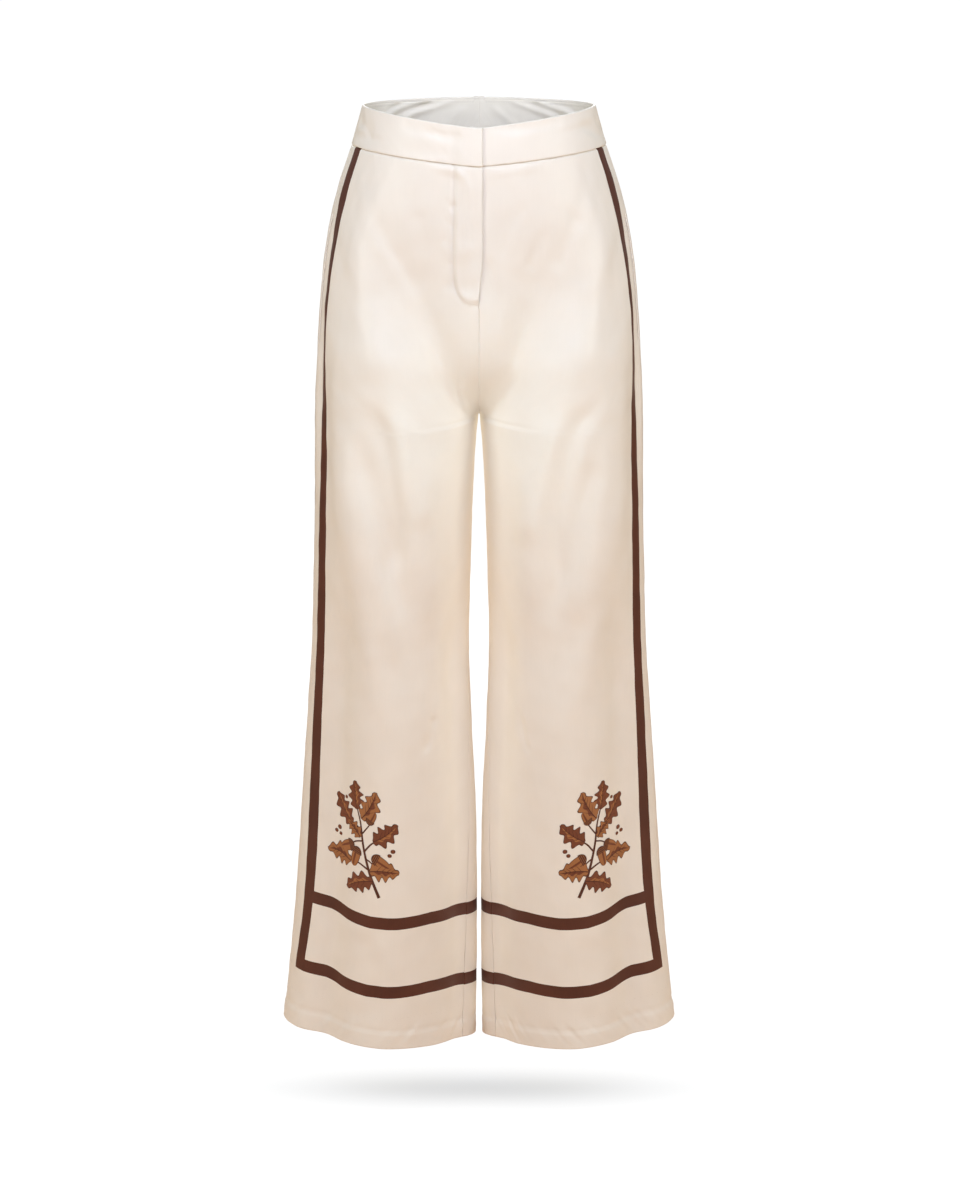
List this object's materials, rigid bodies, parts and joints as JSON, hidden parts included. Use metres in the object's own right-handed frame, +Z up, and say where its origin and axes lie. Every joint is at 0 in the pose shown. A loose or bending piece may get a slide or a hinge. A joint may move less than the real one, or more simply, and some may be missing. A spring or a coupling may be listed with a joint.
{
  "type": "wide-leg riding trousers, filled out with no wearer",
  "caption": "High-waisted wide-leg satin trousers with a fly front, side pockets and a bordered hem, hollow and filled out as if worn.",
  "frame": {"origin": "middle of the waist opening at the height of the rim's sides, where the wearer's waist holds the trousers up", "axes": "+Z up out of the waist, +X towards the wearer's left, -Y towards the front"},
  "size_m": [0.474, 0.2423, 1.1212],
  "materials": {
    "satin": "soft satin, cream with a brown border print",
    "facing": "smooth matt, cool off-white",
    "pocketing": "matt plain weave, cream",
    "zip": "matt woven tape with moulded teeth"
  },
  "bodies": {
    "root": {"front_left": "satin", "front_right": "satin", "back_left": "satin", "back_right": "satin", "waistband_left": "satin", "waistband_right": "satin", "facing_left": "facing", "facing_right": "facing", "pocket_left": "pocketing", "pocket_right": "pocketing", "fly_zip": "zip"}
  },
  "joints": []
}
